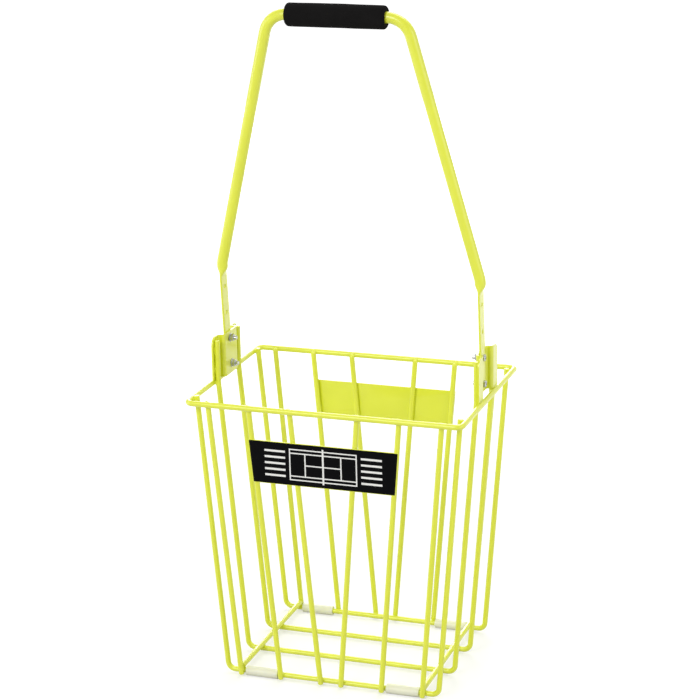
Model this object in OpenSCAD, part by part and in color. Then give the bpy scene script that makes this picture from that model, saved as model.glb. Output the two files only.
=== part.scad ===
// Welded-wire pick-up hopper with a bail handle.
// Millimetres, +Z up. The origin is on the ground under the middle of the basket.
// +X is to the right, and the front wall, with its label plate, faces -Y.

/* [Basket wires] */
// Diameter of the basket wires
wire_d = 6; // [4.5:0.1:6.5]
// Spacing of the four floor wires, from middle to middle
floor_pitch = 67; // [62:0.5:72]
// Length of the floor wires between their two corners
floor_l = 267; // [240:1:300]
// Radius of the corners between floor and sides, at the middle of the wire
floor_bend_r = 9; // [6:0.5:20]
// How far the outer side wires stand above the middle of the rim
side_stub = 4; // [2:0.5:10]
// How far the inner side wires stop short of the top of the brackets
upstand_drop = 4; // [1:0.5:10]
// Radius of the bend where those two wires turn upright at the rim
upstand_bend_r = 20; // [8:1:40]
// How far the floor rods run past the middle of the outer floor wires
floor_rod_overrun = 1.5; // [0:0.1:2.2]
// Gap at a weld, between the two surfaces that it joins
weld_gap = 0.05; // [0.02:0.01:0.2]

/* [Rim] */
// Diameter of the rim wire
rim_d = 6.3; // [4:0.1:8]
// Length of the rim from side to side, at the middle of the wire
rim_l = 336; // [315:1:360]
// Width of the rim from front to rear, at the middle of the wire
rim_w = 238; // [230:1:270]
// Corner radius of the rim, at the middle of the wire
rim_corner_r = 8; // [5:0.5:14]
// Height of the rim above the floor wires, from middle to middle
rim_h = 343; // [300:1:400]

/* [End walls] */
// Spacing of the three wires in each half of an end wall
end_pitch = 51; // [48:0.5:54]
// Distance between the two middle wires of an end wall, at the rim
end_split_rim = 83; // [50:1:100]
// Distance between the two middle wires of an end wall, at the floor
end_split_floor = 26; // [20:1:50]
// How far the end wires stand above the middle of the rim
end_stub = 1.5; // [0:0.5:8]

/* [Plates] */
// Thickness of the front and rear plates
plate_t = 1.2; // [0.8:0.1:2]
// Height of the front label plate
front_plate_h = 53; // [30:1:80]
// Drop from the middle of the rim to the front plate's upper edge
front_plate_drop = 38.5; // [8:0.5:120]
// Height of the plain rear plate
rear_plate_h = 46; // [30:1:80]
// Drop from the middle of the rim to the rear plate's upper edge
rear_plate_drop = 35.5; // [8:0.5:120]

/* [Feet] */
// Length of a foot sleeve
foot_l = 41; // [25:0.5:44]
// Outer diameter of a foot sleeve
foot_d = 12; // [10:0.1:14]
// Depth of the flat that a foot sleeve stands on
foot_flat = 0.5; // [0.2:0.1:1.5]
// Radial clearance of a foot sleeve on its wire
foot_clear = 0.05; // [0.02:0.01:0.3]

/* [Brackets] */
// Sheet thickness of the handle brackets
bracket_t = 2; // [1.5:0.1:2.5]
// Gap between the rim and the brackets above it
bracket_gap = 0.3; // [0.1:0.1:2]
// How far the brackets reach above the middle of the clamp bolts
bracket_margin = 8; // [6:0.5:14]
// Depth of the channel pressed into a bracket
channel_depth = 5.8; // [5.2:0.1:12]
// Room in the channel beside the strap, at the end of its tilt
tilt_clear = 0.3; // [0.2:0.1:2]
// Inside radius of the bracket's bends
bracket_bend_r = 2; // [1:0.1:2.5]
// How far a bracket's lip runs past the middle of the side wire
lip_margin = 6.5; // [4:0.5:10]
// Radius of the bracket's upper corners
bracket_corner_r = 10.5; // [4:0.5:12]

/* [Bolts] */
// Diameter of the bolts
bolt_d = 5; // [4:0.1:6]
// Radial clearance of the bolts in their holes
bolt_clear = 0.08; // [0.03:0.01:0.1]
// Radial clearance of the clamp bolts in their curved slots
slot_clear = 0.4; // [0.3:0.1:1]
// Diameter of the bolt heads
head_d = 8.4; // [7.5:0.1:11]
// Height of the bolt heads
head_h = 3.2; // [2:0.1:4]
// Radius of the dome on the bolt heads
head_dome_r = 9; // [8:0.5:20]
// Length of the cross recess in the bolt heads
recess_l = 4.6; // [3:0.1:6]
// Width of the cross recess in the bolt heads
recess_w = 1.1; // [0.6:0.1:1.5]
// Depth of the cross recess in the bolt heads
recess_h = 1.4; // [0.8:0.1:2]
// Width of the nuts across their flats
nut_af = 8; // [7:0.1:10]
// Height of the nuts
nut_h = 4; // [3:0.1:6]
// Diameter of the washers
washer_d = 10.5; // [9:0.1:13]
// Thickness of the washers
washer_t = 1; // [0.6:0.1:1.6]
// Length of bolt that shows past the nut
bolt_tip = 3.8; // [0.6:0.1:6]
// Chamfer on the tips of the bolts
tip_chamfer = 0.5; // [0.2:0.1:0.6]
// Height of the pivot bolts above the lower edge of the brackets
pivot_rise = 12; // [9.5:0.5:18]
// Distance from the pivot bolts to the clamp bolts, and between the strap's holes
bolt_pitch = 33; // [28:0.5:34]

/* [Handle] */
// Outer diameter of the handle tube
tube_d = 12.4; // [10:0.1:13.5]
// Wall of the handle tube
tube_wall = 1.2; // [0.8:0.1:2]
// Width of a strap, the flattened end of the tube
strap_w = 18; // [14:0.1:18.5]
// Thickness of a strap
strap_t = 2.5; // [2:0.1:3]
// Spare holes in each strap, above the two that are bolted
spare_holes = 2; // [0:1:3]
// Length of flat strap above its last hole
strap_margin = 12; // [10:0.5:40]
// Length over which the tube is flattened into the strap
flatten_l = 14; // [8:0.5:30]
// Radius of the bend above a strap, at the middle of the tube
kink_r = 30; // [15:1:60]
// Radius of the two upper bends, at the middle of the tube
top_bend_r = 28; // [20:1:40]
// Height of the grip above the pivot bolts, along the handle
handle_h = 435; // [360:0.5:500]
// Forward lean of the handle as it stands
handle_lean = 5; // [-10:0.5:10]
// Tilt that the curved slots allow, to each side of upright
tilt_limit = 11; // [6:0.5:13]
// Gap between the flat faces that slide as the handle tilts
slide_gap = 0.1; // [0.05:0.05:0.3]

/* [Grip] */
// Length of the foam grip
grip_l = 120; // [90:1:140]
// Diameter of the foam grip
grip_d = 27; // [20:0.5:34]
// Radius of the grip's rounded ends
grip_round = 5; // [2:0.5:7]
// Gap between the grip and the tube inside it
grip_clear = 0.3; // [0.1:0.05:0.6]
// Straight tube left bare at each end of the grip
grip_margin = 0.5; // [0.5:0.5:10]

/* [Hidden] */
$fn = 48;

powder_yellow = "#dfe145";
foam_black = "#242324";
sleeve_white = "#e4e2d0";
zinc = "#b9bcc0";

left = -1;
right = 1;
front = -1;
rear = 1;
cut = 1; // overshoot of the tools that cut right through
seam_h = 0.02; // height of the seam between a bend and a run
seam_l = 0.3; // half the length of such a seam
seam_lining = 0.4; // how far it lines the bore of a tube
press_margin = 0.2; // how far the tools that shape the flattened stretch clear its two ends
nut_face_inset = 0.1; // how far a nut's outer face lies inside its flats

// Heights above the ground
floor_z = foot_d / 2 - foot_flat;
rim_z = floor_z + rim_h;
bracket_z = rim_z + rim_d / 2 + bracket_gap;
pivot_z = bracket_z + pivot_rise;
bracket_h = pivot_rise + bolt_pitch + bracket_margin;
bracket_top = bracket_z + bracket_h;

// Sides: each wire rises from a floor corner to touch the rim from inside
wire_touch = (rim_d + wire_d) / 2 + weld_gap;
side_lean_guess = atan((rim_l / 2 - wire_touch - floor_l / 2) / rim_h);
side_lean = atan((rim_l / 2 - wire_touch / cos(side_lean_guess) - floor_l / 2) / rim_h);

// End walls: each wire runs from outside the outer floor wire to inside the rim
wire_pair = wire_d + weld_gap;
end_lean_guess = atan((rim_w / 2 - wire_touch - 1.5 * floor_pitch - wire_pair) / rim_h);
end_y_floor = 1.5 * floor_pitch + wire_pair / cos(end_lean_guess);
end_y_rim = rim_w / 2 - wire_touch / cos(end_lean_guess);
end_lean = atan((end_y_rim - end_y_floor) / rim_h);
end_h = rim_h / cos(end_lean);

// The inner side wires bend upright where they pass the rim
upstand_x = side_x(rim_h) + upstand_bend_r * (1 - cos(side_lean));
upstand_h = rim_h + upstand_bend_r * sin(side_lean); // where the bend ends, above the floor wires

// Brackets: a vertical channel, with lips along the upright wires
lip_x = upstand_x + wire_d / 2 + weld_gap; // inner face of a lip
lip_bend_x = lip_x - bracket_bend_r; // where a lip's bend starts
lip_y = floor_pitch / 2 + lip_margin;
web_x = lip_x - channel_depth - bracket_t; // inner face
web_bend_x = web_x + bracket_t + bracket_bend_r; // where the web's bends end
strap_reach = (bolt_pitch + bracket_margin) * tan(tilt_limit) + strap_w / 2 / cos(tilt_limit);
web_flat = strap_reach + tilt_clear; // half the width of the flat that the strap swings over
wall_y = web_flat + bracket_bend_r + bracket_t; // outer face of the channel's wall
strap_x = web_x + bracket_t + slide_gap; // inner face of the strap
strap_mid = strap_x + strap_t / 2;

// Handle: a vertical strap, a slight bend, a leaning leg and a top bend, on each side
strap_top = (1 + spare_holes) * bolt_pitch + strap_margin;
kink_z = strap_top + flatten_l;
top_run = grip_l / 2 + grip_margin;
leg_dx = strap_mid - kink_r - top_run; // between the centres of the two bends
leg_dz = handle_h - top_bend_r - kink_z;
leg_lean = atan2(leg_dx, leg_dz) + asin((kink_r - top_bend_r) / norm([leg_dx, leg_dz]));
leg_l = sqrt(leg_dx ^ 2 + leg_dz ^ 2 - (kink_r - top_bend_r) ^ 2);

// Horizontal distance from the middle of the part to a side wire, at a height above the floor wires
function side_x(h) = floor_l / 2 + h * tan(side_lean);

// Place of end wire i of 6 at the floor and at the rim, counted from the left
function end_side(i) = i > 3 ? right : left;
function end_step(i) = i > 3 ? i - 4 : 3 - i;
function end_x_floor(i) = end_side(i) * (end_split_floor / 2 + end_step(i) * end_pitch);
function end_x_rim(i) = end_side(i) * (end_split_rim / 2 + end_step(i) * end_pitch);
function end_x(i, h) = end_x_floor(i) + (end_x_rim(i) - end_x_floor(i)) * h / end_h;

// Mirror to the left side or to the rear, where asked
module on_side(side) {
  if (side == left) mirror([1, 0, 0]) children();
  else children();
}
module on_end(end) {
  if (end == rear) mirror([0, 1, 0]) children();
  else children();
}

// Section of a wire, or of a tube where it has a bore
module section(d, bore = 0) {
  difference() {
    circle(d = d);
    if (bore > 0) circle(d = bore);
  }
}

// A straight run of wire or tube in the XZ plane, at an angle that leans from +Z towards -X
module run(start, angle, length, d, bore = 0) {
  translate([start.x, 0, start.y]) rotate([0, -angle, 0]) linear_extrude(length) section(d, bore);
}

// A hair-thick seam around the joint of a bend and a run, which makes them one solid
module seam(d, bore) {
  inner = bore > 0 ? bore / 2 - seam_lining : 0;
  rotate_extrude() polygon([
    [inner, -seam_l], [d / 2 - seam_h, -seam_l], [d / 2 + seam_h, 0],
    [d / 2 - seam_h, seam_l], [inner, seam_l]
  ]);
}

// A bend of wire or tube in the XZ plane, between two angles about a centre
module bend(centre, r, from, to, d, bore = 0) {
  translate([centre.x, 0, centre.y]) rotate([90, 0, 0]) {
    rotate([0, 0, from]) rotate_extrude(angle = to - from) translate([r, 0]) section(d, bore);
    for (angle = [from, to]) rotate([0, 0, angle]) translate([r, 0, 0]) rotate([90, 0, 0]) seam(d, bore);
  }
}

// An outline in Y and Z, thickened along X
module sheet_x(x, thickness) {
  translate([x, 0, 0]) rotate([90, 0, 90]) linear_extrude(thickness) children();
}

// A quarter of a sheet's bend, with its centre at the origin
module sheet_bend() {
  outer = bracket_bend_r + bracket_t;
  intersection() {
    difference() {
      circle(outer);
      circle(bracket_bend_r);
    }
    square(outer);
  }
}

// Frame of an end wall: X along the wall, Z up its slope, -Y outwards
module end_frame() {
  translate([0, -end_y_floor, floor_z]) rotate([end_lean, 0, 0]) children();
}

// Frame of the handle: the origin is on the pivot axis and Z runs up the straps
module handle_frame() {
  translate([0, 0, pivot_z]) rotate([handle_lean, 0, 0]) children();
}

module rim_ring() {
  x = rim_l / 2 - rim_corner_r;
  y = rim_w / 2 - rim_corner_r;
  color(powder_yellow) translate([0, 0, rim_z]) rotate([90, 0, 0]) {
    for (end = [front, rear]) run([x, end * rim_w / 2], 90, 2 * x, rim_d);
    for (side = [left, right]) on_side(side) {
      run([rim_l / 2, -y], 0, 2 * y, rim_d);
      bend([x, y], rim_corner_r, 0, 90, rim_d);
      bend([x, -y], rim_corner_r, -90, 0, rim_d);
    }
  }
}

// One wire that makes both sides and a floor rung: 1 is at the front and 4 at the rear
module side_wire(i) {
  inner = i == 2 || i == 3;
  top = inner ? bracket_top - upstand_drop - floor_z : rim_h + side_stub;
  corner_x = floor_l / 2 - floor_bend_r * tan((90 - side_lean) / 2);
  leg = [corner_x + floor_bend_r * cos(side_lean), floor_bend_r * (1 - sin(side_lean))];
  color(powder_yellow) translate([0, (i - 2.5) * floor_pitch, floor_z]) {
    run([corner_x, 0], 90, 2 * corner_x, wire_d);
    for (side = [left, right]) on_side(side) {
      bend([corner_x, floor_bend_r], floor_bend_r, -90, -side_lean, wire_d);
      run(leg, -side_lean, ((inner ? rim_h : top) - leg.y) / cos(side_lean), wire_d);
      if (inner) {
        bend([upstand_x - upstand_bend_r, upstand_h], upstand_bend_r, -side_lean, 0, wire_d);
        run([upstand_x, upstand_h], 0, top - upstand_h, wire_d);
      }
    }
  }
}

// A rod across the floor wires, in line with the outermost end wires
module floor_rod(side) {
  half = 1.5 * floor_pitch + floor_rod_overrun;
  color(powder_yellow) translate([side * end_x_floor(6), half, floor_z + wire_pair])
    rotate([90, 0, 0]) cylinder(d = wire_d, h = 2 * half);
}

module end_wire(end, i) {
  lean = atan((end_x_rim(i) - end_x_floor(i)) / end_h);
  start = -wire_d / 2;
  color(powder_yellow) on_end(end) end_frame()
    run([end_x(i, start), start], -lean, (end_h + end_stub - start) / cos(lean), wire_d);
}

// A plate on the outside of an end wall, as wide as the four wires that it is welded to
module end_plate(end, drop, height) {
  function half(h) = end_x(5, h) + wire_d / 2;
  high = end_h - drop;
  low = high - height;
  color(powder_yellow) on_end(end) end_frame()
    translate([0, -wire_d / 2 - weld_gap, 0]) rotate([90, 0, 0]) linear_extrude(plate_t)
      polygon([[-half(low), low], [half(low), low], [half(high), high], [-half(high), high]]);
}

// A plastic sleeve on a floor wire, flat underneath, between two end wires
module foot(end, side) {
  middle = (end_x_floor(5) + end_x_floor(6)) / 2;
  through = foot_l + 2 * cut;
  color(sleeve_white) translate([side * middle, end * 1.5 * floor_pitch, floor_z]) difference() {
    rotate([0, 90, 0]) cylinder(d = foot_d, h = foot_l, center = true);
    rotate([0, 90, 0]) cylinder(d = wire_d + 2 * foot_clear, h = through, center = true);
    translate([-through / 2, -foot_d / 2, -floor_z - foot_d]) cube([through, foot_d, foot_d]);
  }
}

// Outline of a bracket seen from the side, with its upper corners rounded
module bracket_outline() {
  low = bracket_z;
  inset = lip_y - bracket_corner_r;
  translate([-lip_y, low]) square([2 * lip_y, bracket_h - bracket_corner_r]);
  translate([-inset, low]) square([2 * inset, bracket_h]);
  for (y = [-inset, inset]) translate([y, bracket_top - bracket_corner_r]) circle(bracket_corner_r);
}

// Section of a bracket seen from above: half of the web, a wall, a lip and the two bends between them
module bracket_half() {
  lip_start = wall_y + bracket_bend_r;
  translate([web_x, -seam_l]) square([bracket_t, web_flat + seam_l]);
  translate([web_bend_x, web_flat]) rotate(90) sheet_bend();
  translate([web_bend_x, wall_y - bracket_t]) square([lip_bend_x - web_bend_x, bracket_t]);
  translate([lip_bend_x, lip_start]) rotate(270) sheet_bend();
  translate([lip_x, lip_start]) square([bracket_t, lip_y - lip_start]);
}

// The curved slot that a clamp bolt travels in, about the pivot axis
module clamp_slot() {
  half_w = bolt_d / 2 + slot_clear;
  depth = bracket_t + 2 * cut;
  translate([web_x + bracket_t + cut, 0, pivot_z]) rotate([0, -90, 0]) {
    rotate([0, 0, -tilt_limit]) rotate_extrude(angle = 2 * tilt_limit)
      translate([bolt_pitch - half_w, 0]) square([2 * half_w, depth]);
    for (tilt = [-tilt_limit, tilt_limit])
      rotate([0, 0, tilt]) translate([bolt_pitch, 0, 0]) cylinder(r = half_w, h = depth);
  }
}

module bracket(side) {
  hole_d = bolt_d + 2 * bolt_clear;
  color(powder_yellow) on_side(side) difference() {
    intersection() {
      for (end = [front, rear]) on_end(-end) translate([0, 0, bracket_z]) linear_extrude(bracket_h) bracket_half();
      sheet_x(web_x - cut, rim_l / 2) bracket_outline();
    }
    translate([web_x - cut, 0, pivot_z]) rotate([0, 90, 0]) cylinder(d = hole_d, h = bracket_t + 2 * cut);
    clamp_slot();
  }
}

// A bolt along X through strap and web, with its domed head outside
module bolt(head_x) {
  tip_x = web_x - slide_gap - washer_t - nut_h - bolt_tip;
  difference() {
    union() {
      translate([tip_x, 0, 0]) rotate([0, 90, 0]) {
        cylinder(d1 = bolt_d - 2 * tip_chamfer, d2 = bolt_d, h = tip_chamfer);
        translate([0, 0, tip_chamfer]) cylinder(d = bolt_d, h = head_x - tip_x - tip_chamfer);
      }
      translate([head_x, 0, 0]) rotate([0, 90, 0]) rotate_extrude() intersection() {
        square([head_d / 2, head_h]);
        translate([0, head_h - head_dome_r]) circle(head_dome_r);
      }
    }
    for (turn = [0, 90]) translate([head_x + head_h - recess_h, 0, 0]) rotate([turn, 0, 0])
      translate([0, -recess_l / 2, -recess_w / 2]) cube([recess_h + cut, recess_l, recess_w]);
  }
}

// A ring along X whose bore clears the bolt, cut from the solid that is drawn along +Z
module bolt_ring(x, length) {
  translate([x, 0, 0]) rotate([0, 90, 0]) difference() {
    children();
    translate([0, 0, -cut]) cylinder(d = bolt_d + 2 * bolt_clear, h = length + 2 * cut);
  }
}
module washer(gap) bolt_ring(web_x - gap - washer_t, washer_t) cylinder(d = washer_d, h = washer_t);

// A nut's outer corners are turned off at 30 degrees
module nut(gap) {
  face_r = nut_af / 2 - nut_face_inset;
  bolt_ring(web_x - gap - washer_t - nut_h, nut_h) intersection() {
    cylinder(d = nut_af / cos(30), h = nut_h, $fn = 6);
    cylinder(r1 = face_r, r2 = face_r + nut_h / tan(30), h = nut_h);
  }
}

// The lower bolts are tight in the brackets, and the straps turn on them
module on_pivot(side) on_side(side) translate([0, 0, pivot_z]) children();
module pivot_bolt(side) color(zinc) on_pivot(side) bolt(strap_x + strap_t + slide_gap);
module pivot_washer(side) color(zinc) on_pivot(side) washer(0);
module pivot_nut(side) color(zinc) on_pivot(side) nut(0);

// The upper bolts travel with the straps, and clamp them to the brackets
module on_clamp(side) on_side(side) handle_frame() translate([0, 0, bolt_pitch]) children();
module clamp_bolt(side) color(zinc) on_clamp(side) bolt(strap_x + strap_t);
module clamp_washer(side) color(zinc) on_clamp(side) washer(slide_gap);
module clamp_nut(side) color(zinc) on_clamp(side) nut(slide_gap);

// The flattened end of the tube, with its row of holes
module strap() {
  sheet_x(strap_x, strap_t) difference() {
    union() {
      circle(d = strap_w);
      translate([-strap_w / 2, 0]) square([strap_w, strap_top]);
    }
    for (i = [0 : 1 + spare_holes]) translate([0, i * bolt_pitch]) circle(d = bolt_d + 2 * bolt_clear);
  }
}

// The stretch where the round tube is pressed flat: a cone between two faces that close in on the strap
module flattening() {
  lap = 1; // how far it reaches into the strap
  thin = strap_t / 2;
  thick = tube_d / 2 + press_margin;
  corner_r = norm([strap_w, strap_t]) / 2 + press_margin;
  translate([strap_mid, 0, strap_top]) intersection() {
    rotate([90, 0, 0]) linear_extrude(strap_w, center = true) polygon([
      [-thin, -lap], [thin, -lap], [thin, 0], [thick, flatten_l], [-thick, flatten_l], [-thin, 0]
    ]);
    union() {
      translate([0, 0, -lap]) cylinder(r = corner_r, h = lap);
      cylinder(r1 = corner_r, r2 = tube_d / 2, h = flatten_l);
    }
  }
}

module handle_tube() {
  kink = [strap_mid - kink_r, kink_z];
  top = [top_run, handle_h - top_bend_r];
  leg = kink + kink_r * [cos(leg_lean), sin(leg_lean)];
  bore = tube_d - 2 * tube_wall;
  color(powder_yellow) handle_frame() {
    run([top_run, handle_h], 90, 2 * top_run, tube_d, bore);
    for (side = [left, right]) on_side(side) {
      strap();
      flattening();
      bend(kink, kink_r, 0, leg_lean, tube_d, bore);
      run(leg, leg_lean, leg_l, tube_d, bore);
      bend(top, top_bend_r, leg_lean, 90, tube_d, bore);
    }
  }
}

// A foam sleeve on the top run, with rounded ends
module grip() {
  bore_r = tube_d / 2 + grip_clear;
  outer_r = grip_d / 2;
  half = grip_l / 2;
  round_y = half - grip_round;
  color(foam_black) handle_frame() translate([0, 0, handle_h]) rotate([0, 90, 0])
    rotate_extrude() difference() {
      union() {
        translate([0, -half]) square([outer_r - grip_round, grip_l]);
        translate([0, -round_y]) square([outer_r, 2 * round_y]);
        for (y = [-round_y, round_y]) translate([outer_r - grip_round, y]) circle(grip_round);
      }
      translate([0, -half - cut]) square([bore_r, grip_l + 2 * cut]);
    }
}

rim_ring();
for (i = [1 : 4]) side_wire(i);
floor_rod(left);  // floor_rod_left
floor_rod(right);  // floor_rod_right
for (i = [1 : 6]) end_wire(front, i);
for (i = [1 : 6]) end_wire(rear, i);
end_plate(front, front_plate_drop, front_plate_h);  // front_plate
end_plate(rear, rear_plate_drop, rear_plate_h);  // rear_plate
foot(front, left);  // foot_front_left
foot(front, right);  // foot_front_right
foot(rear, left);  // foot_rear_left
foot(rear, right);  // foot_rear_right
bracket(left);  // bracket_left
bracket(right);  // bracket_right
pivot_bolt(left);  // pivot_bolt_left
pivot_bolt(right);  // pivot_bolt_right
pivot_washer(left);  // pivot_washer_left
pivot_washer(right);  // pivot_washer_right
pivot_nut(left);  // pivot_nut_left
pivot_nut(right);  // pivot_nut_right
handle_tube();
grip();
clamp_bolt(left);  // clamp_bolt_left
clamp_bolt(right);  // clamp_bolt_right
clamp_washer(left);  // clamp_washer_left
clamp_washer(right);  // clamp_washer_right
clamp_nut(left);  // clamp_nut_left
clamp_nut(right);  // clamp_nut_right
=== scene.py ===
# %% [markdown]
# Welded-wire pick-up basket with a bail handle.
#
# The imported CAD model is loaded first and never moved: it is the frame that every piece below is
# fitted to. Lengths in this file are written in millimetres, as a maker would, and are turned to
# Blender's metres when a mesh is made. +Z is up and the label faces -Y.

# %% Load the frame
import math

import bmesh
import bpy
import numpy as np
from mathutils import Matrix, Vector


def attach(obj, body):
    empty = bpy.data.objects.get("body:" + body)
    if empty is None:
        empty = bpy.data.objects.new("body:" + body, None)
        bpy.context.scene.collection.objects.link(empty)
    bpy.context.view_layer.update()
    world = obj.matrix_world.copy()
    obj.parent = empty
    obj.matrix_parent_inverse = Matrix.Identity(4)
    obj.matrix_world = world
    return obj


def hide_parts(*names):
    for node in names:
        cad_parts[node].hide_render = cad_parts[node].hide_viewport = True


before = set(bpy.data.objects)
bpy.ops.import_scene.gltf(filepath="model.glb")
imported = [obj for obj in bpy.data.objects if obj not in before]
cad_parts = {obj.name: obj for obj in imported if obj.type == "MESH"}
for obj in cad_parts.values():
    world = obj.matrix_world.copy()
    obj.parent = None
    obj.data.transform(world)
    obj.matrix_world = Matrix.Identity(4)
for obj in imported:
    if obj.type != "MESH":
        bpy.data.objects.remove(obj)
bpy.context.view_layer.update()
scene = bpy.context.scene
MM = 0.001

# %% [markdown]
# Colours are sRGB hex values, as a paint chart gives them, but a shader reckons in linear light. One
# function turns the first into the second.


# %% Colour helper
def paint(hex_code):
    """An sRGB hex colour in linear light: c / 12.92 below 0.04045, else ((c + 0.055) / 1.055) ^ 2.4."""
    srgb = np.array([int(hex_code[i:i + 2], 16) for i in (1, 3, 5)]) / 255
    linear = np.where(srgb <= 0.04045, srgb / 12.92, ((srgb + 0.055) / 1.055) ** 2.4)
    return (*linear.tolist(), 1.0)


print("paint('#dfe145') in linear light:", np.round(paint("#dfe145")[:3], 3))

# %% [markdown]
# A material is a small graph. One helper adds a node, sets its values and links its inputs, so each
# finish below reads as a list of what it is made of. A pattern's scale is worked out from a real
# size: a noise of scale 1000 has features about one millimetre across.


# %% Node helper
def add_node(tree, kind, values=None, links=None, **settings):
    """Adds a node, sets its properties, input values and incoming links, and returns it."""
    node = tree.nodes.new(kind)
    for key, value in settings.items():
        setattr(node, key, value)
    for key, value in (values or {}).items():
        node.inputs[key].default_value = value
    for key, output in (links or {}).items():
        tree.links.new(output, node.inputs[key])
    return node


def new_finish(name):
    """An empty material, its node tree and the piece's own coordinates."""
    finish = bpy.data.materials.new(name)
    finish.use_nodes = True
    tree = finish.node_tree
    tree.nodes.clear()
    return finish, tree, add_node(tree, "ShaderNodeTexCoord").outputs["Object"]


def finished(finish, tree, shader):
    """Leads a shader to the material's output and returns the material."""
    add_node(tree, "ShaderNodeOutputMaterial", links={"Surface": shader.outputs["BSDF"]})
    print("made", finish.name)
    return finish


def per_mm(size):
    """The scale of a texture whose features are this many millimetres across."""
    return 1 / (size * MM)


print("scale for 2 mm features:", round(per_mm(2)))

# %% [markdown]
# Powder coat. Dry polyester powder is sprayed on the bare welded steel and baked, so wires, plates,
# brackets and tube share one even skin of lemon yellow. To the eye it is a hard, fairly glossy paint
# with the faint ripple called orange peel, about 2 mm from crest to crest. The hue drifts a little
# where the film is thin or thick, and the lowest wires are scuffed by the court.


# %% Powder coat
def powder_coat(name, edge=0.0):
    """Baked lemon powder coat. With an edge radius in mm, sharp sheet edges shade as rounded ones."""
    finish, tree, place = new_finish(name)
    drift = add_node(tree, "ShaderNodeTexNoise", {"Scale": per_mm(45), "Detail": 2.0}, {"Vector": place})
    film = add_node(tree, "ShaderNodeMix", {"A": paint("#dce226"), "B": paint("#e5ea31")},
                    {"Factor": drift.outputs["Fac"]}, data_type="RGBA")
    height = add_node(tree, "ShaderNodeSeparateXYZ", links={"Vector": place})
    low = add_node(tree, "ShaderNodeMapRange", {"From Min": 9 * MM, "From Max": 1 * MM},
                   {"Value": height.outputs["Z"]})
    rub = add_node(tree, "ShaderNodeTexNoise", {"Scale": per_mm(5), "Detail": 5.0, "Roughness": 0.7},
                   {"Vector": place})
    patch = add_node(tree, "ShaderNodeMapRange", {"From Min": 0.5, "From Max": 0.68, "To Max": 0.55},
                     {"Value": rub.outputs["Fac"]})
    scuff = add_node(tree, "ShaderNodeMath",
                     links={0: low.outputs["Result"], 1: patch.outputs["Result"]}, operation="MULTIPLY")
    colour = add_node(tree, "ShaderNodeMix", {"B": paint("#a7a25a")},
                      {"Factor": scuff.outputs[0], "A": film.outputs["Result"]}, data_type="RGBA")
    gloss = add_node(tree, "ShaderNodeMapRange", {"To Min": 0.38, "To Max": 0.5},
                     {"Value": drift.outputs["Fac"]})
    peel = add_node(tree, "ShaderNodeTexNoise", {"Scale": per_mm(2.0), "Detail": 1.5}, {"Vector": place})
    ripple = add_node(tree, "ShaderNodeBump", {"Strength": 0.16, "Distance": 0.25 * MM},
                      {"Height": peel.outputs["Fac"]})
    if edge:
        soft = add_node(tree, "ShaderNodeBevel", {"Radius": edge * MM}, samples=6)
        tree.links.new(soft.outputs["Normal"], ripple.inputs["Normal"])
    shader = add_node(tree, "ShaderNodeBsdfPrincipled",
                      {"IOR": 1.5, "Coat Weight": 0.8, "Coat Roughness": 0.2},
                      {"Base Color": colour.outputs["Result"], "Roughness": gloss.outputs["Result"],
                       "Normal": ripple.outputs["Normal"]})
    return finished(finish, tree, shader)


coat_on_wire = powder_coat("powder_coat_on_wire")
coat_on_sheet = powder_coat("powder_coat_on_sheet", edge=0.5)

# %% [markdown]
# Foam. The grip is a black closed-cell rubber foam sleeve. Cut or moulded foam has a matt skin of
# tiny cells, drawn here at 0.9 mm, the finest that a close view can show, with painted shade darkening
# the pit of each cell. It has no highlight, and only turns a little lighter where the light falls on it.


# %% Foam
def cell_foam(name):
    """Black closed-cell foam: dimpled cells, each pit darkened by painted shade, and handling marks from a
    noise.
    """
    finish, tree, place = new_finish(name)
    cells = add_node(tree, "ShaderNodeTexVoronoi", {"Scale": per_mm(0.9), "Randomness": 1.0},
                     {"Vector": place})
    wear = add_node(tree, "ShaderNodeTexNoise", {"Scale": per_mm(14), "Detail": 3.0}, {"Vector": place})
    skin_colour = add_node(tree, "ShaderNodeMix", {"A": paint("#161515"), "B": paint("#1e1d1d")},
                           {"Factor": wear.outputs["Fac"]}, data_type="RGBA")
    # The colour is darkened towards each cell's pit: painted shade in the dimples, not a darker foam.
    depth = add_node(tree, "ShaderNodeMapRange", {"From Max": 0.7, "To Min": 0.72, "To Max": 1.0},
                     {"Value": cells.outputs["Distance"]})
    colour = add_node(tree, "ShaderNodeMix", {"Factor": 1.0},
                      {"A": skin_colour.outputs["Result"], "B": depth.outputs["Result"]},
                      data_type="RGBA", blend_type="MULTIPLY")
    rough = add_node(tree, "ShaderNodeMapRange", {"To Min": 0.72, "To Max": 0.9},
                     {"Value": wear.outputs["Fac"]})
    dimples = add_node(tree, "ShaderNodeBump", {"Strength": 0.45, "Distance": 0.3 * MM},
                       {"Height": cells.outputs["Distance"]})
    shader = add_node(tree, "ShaderNodeBsdfPrincipled",
                      {"IOR": 1.45, "Specular IOR Level": 0.02},
                      {"Base Color": colour.outputs["Result"], "Roughness": rough.outputs["Result"],
                       "Normal": dimples.outputs["Normal"]})
    return finished(finish, tree, shader)


foam = cell_foam("closed_cell_foam")
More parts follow.
